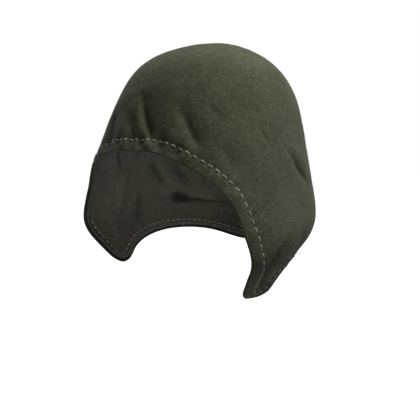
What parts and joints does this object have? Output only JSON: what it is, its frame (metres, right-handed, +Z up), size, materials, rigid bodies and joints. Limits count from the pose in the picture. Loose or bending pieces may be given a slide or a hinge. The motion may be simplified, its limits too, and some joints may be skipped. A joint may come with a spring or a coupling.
{
  "type": "linen hood",
  "caption": "Worn linen hood: a rounded soft shell that covers the crown, ears and nape, open at the face and neck, with hanging front corners, a turned topstitched edge and a dark lining",
  "frame": {"origin": "inside of the crown, where the hood sits on top of the head", "axes": "+Z up, the face opening towards -Y, the wearer's left towards +X"},
  "size_m": [0.2109, 0.2199, 0.213],
  "materials": {
    "shell_linen": "olive plain-weave linen, matt, with small slubs and faint mottling",
    "lining_linen": "dark charcoal plain-weave linen, matt",
    "topstitch_thread": "pale grey-olive twisted sewing thread"
  },
  "bodies": {
    "root": {"outer_shell": "shell_linen", "lining": "lining_linen"}
  },
  "joints": []
}
